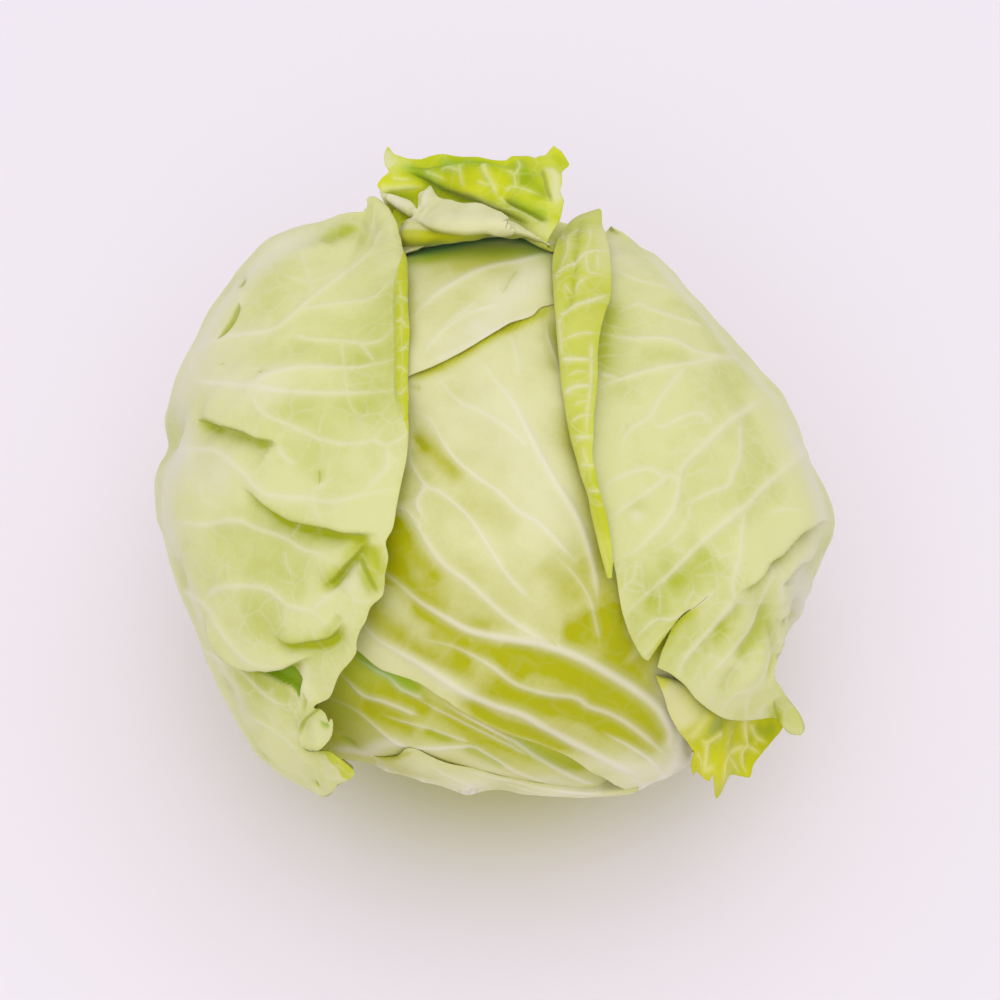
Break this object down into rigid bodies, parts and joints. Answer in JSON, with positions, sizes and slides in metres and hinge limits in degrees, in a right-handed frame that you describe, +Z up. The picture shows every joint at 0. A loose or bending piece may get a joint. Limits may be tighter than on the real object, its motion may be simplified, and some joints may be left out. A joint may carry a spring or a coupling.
{
  "type": "white cabbage head",
  "caption": "Head of smooth pale-green cabbage with loose wrapper leaves, a rolled leaf margin and a flat cut stem foot to stand on.",
  "frame": {"origin": "centre of the cut stem face that the head stands on", "axes": "+Z up through the head, -Y towards the front where the tight head shows between the wrapper leaves, +X to the right seen from the front"},
  "size_m": [0.193, 0.1782, 0.1531],
  "materials": {
    "stem_flesh": "cut cabbage stalk, damp fibrous flesh drying at the rim",
    "inner_leaf": "packed white cabbage leaf, smooth and faintly waxy",
    "head_leaf": "pale green cabbage leaf with cream ribs, waxy bloom, slightly translucent",
    "wrapper_leaf": "outer cabbage leaf, pale green with a cream vein net, waxy bloom, translucent at the margins"
  },
  "bodies": {
    "root": {"cut_stem": "stem_flesh", "packed_heart": "inner_leaf", "leaf_lower": "head_leaf", "leaf_fringe": "head_leaf", "leaf_front": "head_leaf", "leaf_crown": "head_leaf", "leaf_turned": "head_leaf", "wrapper_back": "wrapper_leaf", "wrapper_left": "wrapper_leaf", "wrapper_right": "wrapper_leaf", "wrapper_torn": "wrapper_leaf"}
  },
  "joints": []
}
